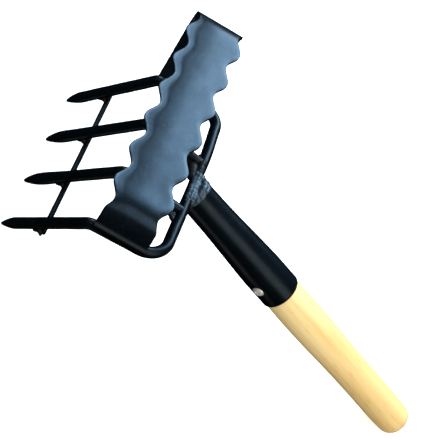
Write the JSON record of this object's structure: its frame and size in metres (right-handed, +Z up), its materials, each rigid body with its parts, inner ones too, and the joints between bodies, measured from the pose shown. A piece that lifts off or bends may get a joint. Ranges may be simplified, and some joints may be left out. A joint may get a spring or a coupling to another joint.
{
  "type": "hand rake",
  "caption": "Hand garden rake with sharp round tines, a scalloped stirrup blade bent over the back of the head, and a short wooden grip in a tapered steel socket.",
  "frame": {"origin": "middle of the bounding box, on the floor that the tine points and the end of the grip rest on", "axes": "+X from the tines to the end of the grip, +Y along the blade, +Z up with the tool lying on its points"},
  "size_m": [0.3364, 0.204, 0.125],
  "materials": {
    "black_paint": "satin black paint on round steel bar and tube",
    "blade_paint": "smooth glossy black paint on steel strip",
    "weld_paint": "rippled weld metal under black paint",
    "pale_wood": "turned pale hardwood, lightly varnished",
    "zinc": "bright zinc plating"
  },
  "bodies": {
    "root": {"blade": "blade_paint", "outer_tine_bar": "black_paint", "left_inner_tine_bar": "black_paint", "right_inner_tine_bar": "black_paint", "tie_rod": "black_paint", "socket": "black_paint", "handle": "pale_wood", "handle_screw": "zinc", "socket_weld": "weld_paint", "inner_bar_welds": "weld_paint", "blade_foot_welds": "weld_paint", "tie_rod_welds": "weld_paint"}
  },
  "joints": []
}
